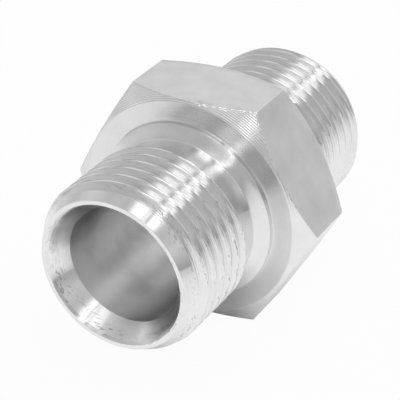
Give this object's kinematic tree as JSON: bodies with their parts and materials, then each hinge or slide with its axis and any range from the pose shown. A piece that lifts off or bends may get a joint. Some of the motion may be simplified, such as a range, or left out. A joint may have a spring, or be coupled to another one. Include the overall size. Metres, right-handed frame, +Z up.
{
  "type": "adapter fitting",
  "caption": "Straight hexagon adapter fitting with a male parallel pipe thread on both ends, coned seats and a through bore.",
  "frame": {"origin": "under the middle of the length, on the hexagon's lowest flat, so at the bottom centre of the box", "axes": "+Y along the bore from the front end to the rear end, +Z up out of the top flat, +X to the right seen from the front end"},
  "size_m": [0.0254, 0.034, 0.022],
  "materials": {
    "zinc_plated_steel": "turned and bright zinc plated"
  },
  "bodies": {
    "root": {"adapter_body": "zinc_plated_steel"}
  },
  "joints": []
}
